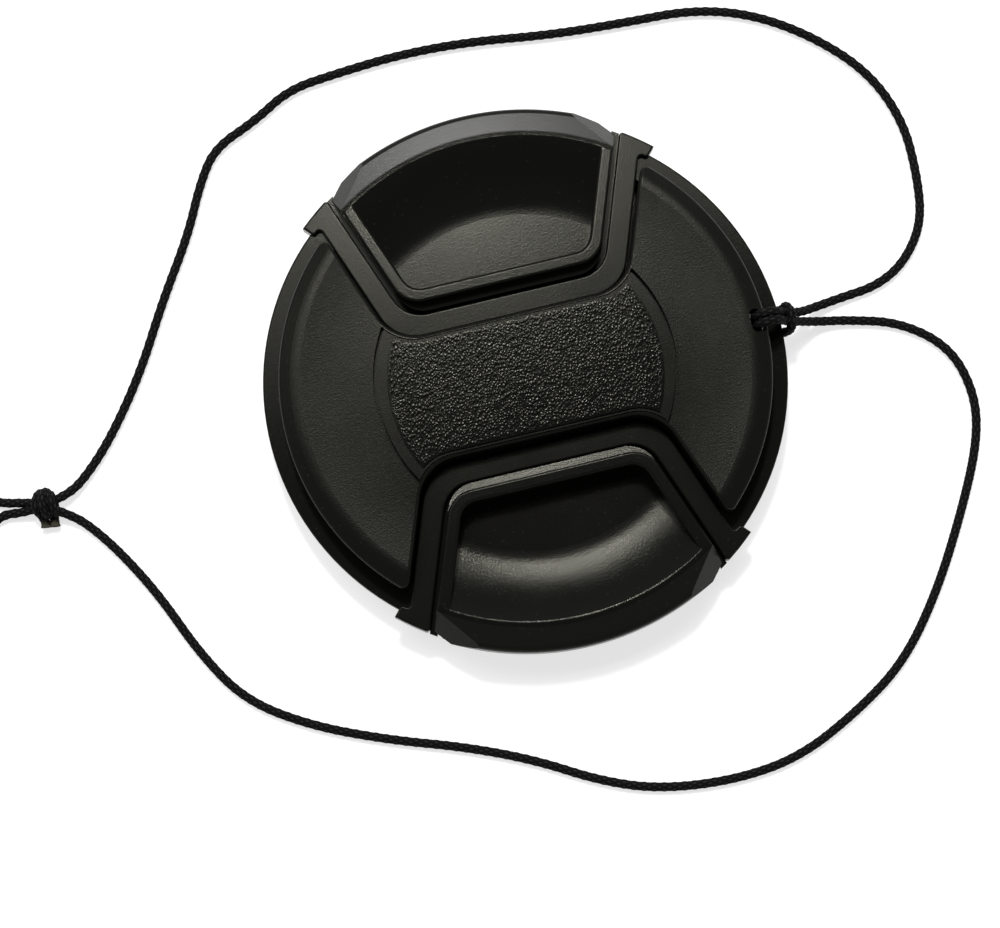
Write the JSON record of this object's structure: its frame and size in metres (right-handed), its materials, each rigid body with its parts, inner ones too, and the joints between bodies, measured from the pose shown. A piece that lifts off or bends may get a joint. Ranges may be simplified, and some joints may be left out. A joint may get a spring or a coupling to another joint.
{
  "type": "lens cap",
  "caption": "Round pinch-fit lens cap with pinch tabs in scooped finger recesses, a grained centre plate, and a thin tether cord hitched through its rim.",
  "frame": {"origin": "centre of the rear rim, on the cap's axis and in the plane the cap lies on", "axes": "+Z out of the front face, +X to the tether hole, +Y to the far tab"},
  "size_m": [0.1282, 0.0924, 0.0091],
  "materials": {
    "body_plastic": "satin",
    "plate_plastic": "grained",
    "tab_plastic": "satin",
    "spring_wire": "plain",
    "cord": "braided"
  },
  "bodies": {
    "body": {"base": "body_plastic", "front_cover": "body_plastic", "centre_plate": "plate_plastic", "spring_far": "spring_wire", "spring_near": "spring_wire", "cord_hitch": "cord", "cord_far": "cord", "cord_near": "cord", "cord_knot": "cord", "cord_end_loop": "cord"},
    "far_tab": {"tab_far": "tab_plastic"},
    "near_tab": {"tab_near": "tab_plastic"}
  },
  "joints": [
    {"name": "far_tab_pinch", "type": "slide", "parent": "body", "child": "far_tab", "axis": [0, -1, 0], "range_m": [0, 0.00085], "stiffness_N_per_m": 600, "springref_m": -0.001, "deforming": ["spring_far"]},
    {"name": "near_tab_pinch", "type": "slide", "parent": "body", "child": "near_tab", "axis": [0, 1, 0], "range_m": [0, 0.00085], "stiffness_N_per_m": 600, "springref_m": -0.001, "deforming": ["spring_near"]}
  ]
}
